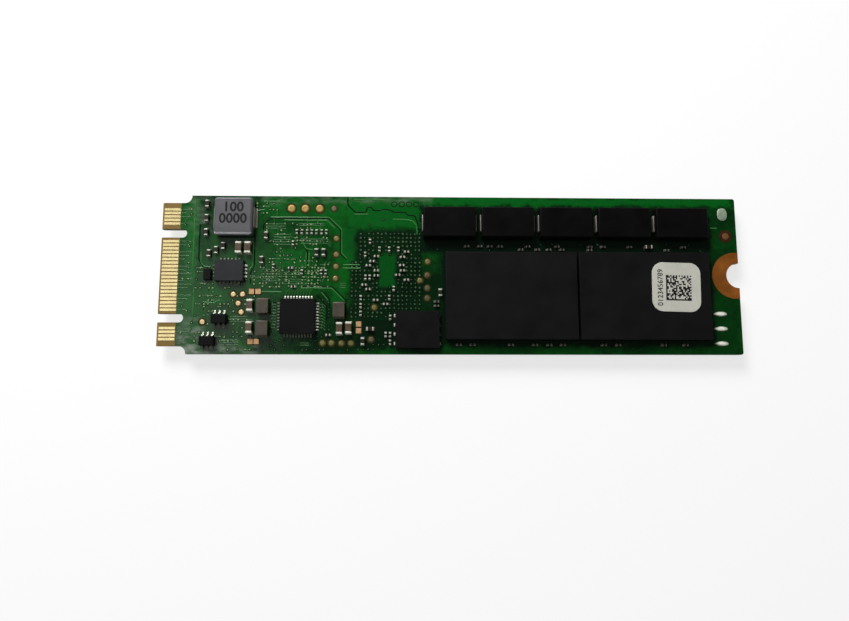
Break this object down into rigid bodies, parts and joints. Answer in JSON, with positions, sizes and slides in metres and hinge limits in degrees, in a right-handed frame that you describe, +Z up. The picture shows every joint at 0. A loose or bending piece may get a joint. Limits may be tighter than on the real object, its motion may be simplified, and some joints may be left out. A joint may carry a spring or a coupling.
{
  "type": "solid-state drive card",
  "caption": "Green keyed edge-card storage drive with black memory packages, a row of hold-up capacitors, a grey inductor, gold edge contacts and a half-round screw notch.",
  "frame": {"origin": "middle of the footprint, on the underside of the hidden face's packages", "axes": "+X along the card from the edge contacts to the screw notch, +Y across it, +Z up out of the face with the hold-up capacitors"},
  "size_m": [0.08, 0.022, 0.0035],
  "materials": {
    "solder_mask": "green solder mask over glass-fibre laminate and copper",
    "contact_gold": "hard gold plate",
    "pad_gold": "thin gold plate",
    "bare_copper": "bare copper, dulled",
    "solder_tin": "reflowed solder and tin plate",
    "terminal_tin": "tin-plated sheet",
    "package_black": "black moulding compound",
    "chip_black": "black moulding compound",
    "chip_grey": "dark grey moulding compound",
    "capacitor_black": "black moulding compound",
    "inductor_grey": "pressed iron powder, grey",
    "coil_grey": "grey-brown moulded ferrite",
    "ceramic_tan": "fired ceramic",
    "resistor_black": "black glaze over ceramic",
    "label_paper": "matt printed paper"
  },
  "bodies": {
    "root": {"circuit_card": "solder_mask", "contact_fingers_upper": "contact_gold", "contact_fingers_lower": "contact_gold", "screw_ring_upper": "bare_copper", "screw_ring_lower": "bare_copper", "probe_pads": "pad_gold", "test_points": "pad_gold", "fiducial": "bare_copper", "bare_pads": "bare_copper", "tinned_points": "solder_tin", "tin_bars": "solder_tin", "tin_spot": "solder_tin", "memory_upper_1": "package_black", "memory_upper_2": "package_black", "memory_lower_1": "package_black", "memory_lower_2": "package_black", "memory_balls_upper": "solder_tin", "memory_balls_lower": "solder_tin", "logic_balls": "solder_tin", "controller": "package_black", "buffer_memory": "package_black", "power_inductor": "inductor_grey", "power_inductor_terminals": "terminal_tin", "regulator": "chip_grey", "regulator_leads": "solder_tin", "power_manager": "chip_black", "power_manager_leads": "solder_tin", "firmware_flash": "chip_black", "firmware_flash_leads": "solder_tin", "clamp_diode": "chip_black", "logic_gate_1": "chip_black", "logic_gate_2": "chip_black", "logic_gate_leads_1": "solder_tin", "logic_gate_leads_2": "solder_tin", "coil_chip_bodies": "coil_grey", "coil_chip_ends": "solder_tin", "capacitor_chip_bodies": "ceramic_tan", "capacitor_chip_ends": "solder_tin", "small_chip_bodies": "ceramic_tan", "small_chip_ends": "solder_tin", "resistor_chip_bodies": "resistor_black", "resistor_chip_ends": "solder_tin", "tiny_chip_bodies": "ceramic_tan", "tiny_chip_ends": "solder_tin", "code_label": "label_paper", "holdup_capacitor_1": "capacitor_black", "holdup_terminals_1": "terminal_tin", "holdup_capacitor_2": "capacitor_black", "holdup_terminals_2": "terminal_tin", "holdup_capacitor_3": "capacitor_black", "holdup_terminals_3": "terminal_tin", "holdup_capacitor_4": "capacitor_black", "holdup_terminals_4": "terminal_tin", "holdup_capacitor_5": "capacitor_black", "holdup_terminals_5": "terminal_tin"}
  },
  "joints": []
}
